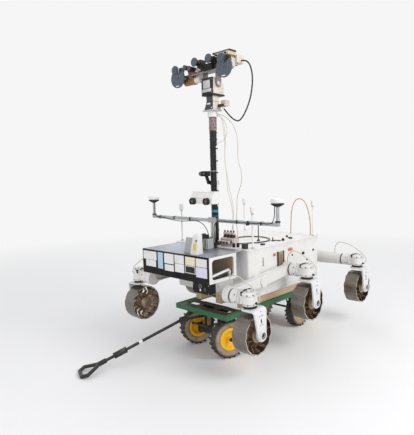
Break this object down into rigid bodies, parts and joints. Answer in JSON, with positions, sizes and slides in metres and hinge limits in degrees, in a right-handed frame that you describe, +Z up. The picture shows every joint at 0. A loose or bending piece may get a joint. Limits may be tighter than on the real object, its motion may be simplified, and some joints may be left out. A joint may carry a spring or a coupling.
{
  "type": "planetary test rover on a transport cart",
  "caption": "Planetary test rover with steered legs and metal wheels, camera mast and antennas, parked on a steered transport cart with a pull handle.",
  "frame": {"origin": "on the floor under the middle of the overall length and width", "axes": "+X towards the rover's front and the cart's handle, +Y to its left, +Z up"},
  "size_m": [2.4501, 1.3958, 2.2949],
  "materials": {
    "white_paint": "satin white paint",
    "white_anodised": "satin white paint with worn edges",
    "bare_aluminium": "brushed",
    "white_frame": "satin white paint",
    "black_plate": "matt black",
    "white_plastic": "matt",
    "dark_bearing": "satin black",
    "cream_paint": "satin",
    "grey_disc": "matt slate grey",
    "steel_plate": "worn steel",
    "green_paint": "glossy enamel",
    "black_steel": "satin black enamel",
    "tyre_rubber": "dusty black",
    "yellow_rim": "glossy enamel",
    "timber": "bare softwood",
    "cable_black": "black cable sheath",
    "cable_light": "pale cable sheath"
  },
  "bodies": {
    "root": {"body_tub": "white_paint", "deck_plate": "white_paint", "nose_box": "white_frame", "nose_lid": "bare_aluminium", "nose_panel": "black_plate", "mast_tube": "black_plate", "mast_collar": "white_paint", "mast_posts": "bare_aluminium", "cross_bar": "bare_aluminium", "satellite_antennas": "white_plastic", "radio_antennas": "white_plastic", "stereo_camera": "white_plastic", "sun_sensor": "white_paint", "deck_instruments": "black_plate", "connector_block": "black_plate", "bogie_left": "white_paint", "bogie_right": "white_paint", "bogie_rear": "white_paint", "leg_drives": "white_paint", "bearing_rings": "dark_bearing", "cart_frame": "green_paint", "cart_axles": "black_steel", "cradle": "timber", "side_cable": "cable_light", "mast_cables": "cable_light", "leg_cables": "cable_light", "deck_cables": "cable_black", "bar_cables": "cable_black"},
    "pan": {"pan_base": "cream_paint", "pan_head": "black_plate", "head_cable": "cable_black"},
    "tilt": {"camera_bench": "black_plate", "filter_discs": "grey_disc", "bench_cameras": "black_plate", "bench_electronics": "black_plate"},
    "tongue": {"tongue": "black_steel"},
    "tie_rod": {"tie_rod": "black_steel"},
    "handle": {"handle": "black_steel"},
    "leg_front_left": {"leg_front_left": "white_anodised"},
    "wheel_front_left": {"wheel_front_left": "steel_plate"},
    "leg_front_right": {"leg_front_right": "white_anodised"},
    "wheel_front_right": {"wheel_front_right": "steel_plate"},
    "leg_middle_left": {"leg_middle_left": "white_anodised"},
    "wheel_middle_left": {"wheel_middle_left": "steel_plate"},
    "leg_middle_right": {"leg_middle_right": "white_anodised"},
    "wheel_middle_right": {"wheel_middle_right": "steel_plate"},
    "leg_rear_left": {"leg_rear_left": "white_anodised"},
    "wheel_rear_left": {"wheel_rear_left": "steel_plate"},
    "leg_rear_right": {"leg_rear_right": "white_anodised"},
    "wheel_rear_right": {"wheel_rear_right": "steel_plate"},
    "knuckle_left": {"knuckle_left": "black_steel"},
    "knuckle_right": {"knuckle_right": "black_steel"},
    "cart_wheel_front_left": {"tyre_front_left": "tyre_rubber", "rim_front_left": "yellow_rim"},
    "cart_wheel_front_right": {"tyre_front_right": "tyre_rubber", "rim_front_right": "yellow_rim"},
    "cart_wheel_rear_left": {"tyre_rear_left": "tyre_rubber", "rim_rear_left": "yellow_rim"},
    "cart_wheel_rear_right": {"tyre_rear_right": "tyre_rubber", "rim_rear_right": "yellow_rim"}
  },
  "joints": [
    {"name": "mast_pan", "type": "hinge", "parent": "root", "child": "pan", "pos_m": [0.16222, 0, 1.866], "axis": [0, 0, 1], "range_deg": [-170, 170]},
    {"name": "mast_tilt", "type": "hinge", "parent": "pan", "child": "tilt", "pos_m": [0.16222, 0, 2.066], "axis": [0, 1, 0], "range_deg": [-30, 60]},
    {"name": "steer_front_left", "type": "hinge", "parent": "root", "child": "leg_front_left", "pos_m": [0.46122, 0.5875, 0.327], "axis": [0.0872, 0, 0.9962], "range_deg": [-90, 90]},
    {"name": "drive_front_left", "type": "hinge", "parent": "leg_front_left", "child": "wheel_front_left", "pos_m": [0.46122, 0.5875, 0.327], "axis": [0, 1, 0], "continuous": true},
    {"name": "steer_front_right", "type": "hinge", "parent": "root", "child": "leg_front_right", "pos_m": [0.46122, -0.5875, 0.327], "axis": [0.0872, 0, 0.9962], "range_deg": [-90, 90]},
    {"name": "drive_front_right", "type": "hinge", "parent": "leg_front_right", "child": "wheel_front_right", "pos_m": [0.46122, -0.5875, 0.327], "axis": [0, 1, 0], "continuous": true},
    {"name": "steer_middle_left", "type": "hinge", "parent": "root", "child": "leg_middle_left", "pos_m": [-0.22678, 0.5875, 0.387], "axis": [0, 0, 1], "range_deg": [-90, 90]},
    {"name": "drive_middle_left", "type": "hinge", "parent": "leg_middle_left", "child": "wheel_middle_left", "pos_m": [-0.22678, 0.5875, 0.387], "axis": [0, 1, 0], "continuous": true},
    {"name": "steer_middle_right", "type": "hinge", "parent": "root", "child": "leg_middle_right", "pos_m": [-0.22678, -0.5875, 0.387], "axis": [0, 0, 1], "range_deg": [-90, 90]},
    {"name": "drive_middle_right", "type": "hinge", "parent": "leg_middle_right", "child": "wheel_middle_right", "pos_m": [-0.22678, -0.5875, 0.387], "axis": [0, 1, 0], "continuous": true},
    {"name": "steer_rear_left", "type": "hinge", "parent": "root", "child": "leg_rear_left", "pos_m": [-1.08178, 0.5875, 0.337], "axis": [0, 0, 1], "range_deg": [-90, 90]},
    {"name": "drive_rear_left", "type": "hinge", "parent": "leg_rear_left", "child": "wheel_rear_left", "pos_m": [-1.08178, 0.5875, 0.337], "axis": [0, 1, 0], "continuous": true},
    {"name": "steer_rear_right", "type": "hinge", "parent": "root", "child": "leg_rear_right", "pos_m": [-1.08178, -0.5875, 0.337], "axis": [0, 0, 1], "range_deg": [-90, 90]},
    {"name": "drive_rear_right", "type": "hinge", "parent": "leg_rear_right", "child": "wheel_rear_right", "pos_m": [-1.08178, -0.5875, 0.337], "axis": [0, 1, 0], "continuous": true},
    {"name": "cart_steer", "type": "hinge", "parent": "root", "child": "tongue", "pos_m": [0.24322, 0.015, 0.28], "axis": [0, 0, 1], "range_deg": [-18.4, 61.6]},
    {"name": "tie_rod_swing", "type": "hinge", "parent": "tongue", "child": "tie_rod", "pos_m": [0.30923, -0.01114, 0.2], "axis": [0, 0, 1], "range_deg": [-61.6, 18.4]},
    {"name": "kingpin_left", "type": "hinge", "parent": "root", "child": "knuckle_left", "pos_m": [0.24322, 0.137, 0.146], "axis": [0, 0, 1], "range_deg": [-18.4, 61.6]},
    {"name": "kingpin_right", "type": "hinge", "parent": "root", "child": "knuckle_right", "pos_m": [0.24322, -0.107, 0.146], "axis": [0, 0, 1], "range_deg": [-18.4, 61.6]},
    {"name": "handle_lift", "type": "hinge", "parent": "tongue", "child": "handle", "pos_m": [0.47938, -0.0785, 0.28], "axis": [-0.3681, -0.9298, 0], "range_deg": [0, 63]},
    {"name": "roll_front_left", "type": "hinge", "parent": "knuckle_left", "child": "cart_wheel_front_left", "pos_m": [0.27193, 0.20952, 0.146], "axis": [0.3681, 0.9298, 0], "continuous": true},
    {"name": "roll_front_right", "type": "hinge", "parent": "knuckle_right", "child": "cart_wheel_front_right", "pos_m": [0.21451, -0.17952, 0.146], "axis": [0.3681, 0.9298, 0], "continuous": true},
    {"name": "roll_rear_left", "type": "hinge", "parent": "root", "child": "cart_wheel_rear_left", "pos_m": [-0.67428, 0.215, 0.146], "axis": [0, 1, 0], "continuous": true},
    {"name": "roll_rear_right", "type": "hinge", "parent": "root", "child": "cart_wheel_rear_right", "pos_m": [-0.67428, -0.185, 0.146], "axis": [0, 1, 0], "continuous": true}
  ],
  "couplings": [
    {"joint": "kingpin_left", "follows": "cart_steer", "ratio": 1},
    {"joint": "kingpin_right", "follows": "cart_steer", "ratio": 1},
    {"joint": "tie_rod_swing", "follows": "cart_steer", "ratio": -1}
  ]
}
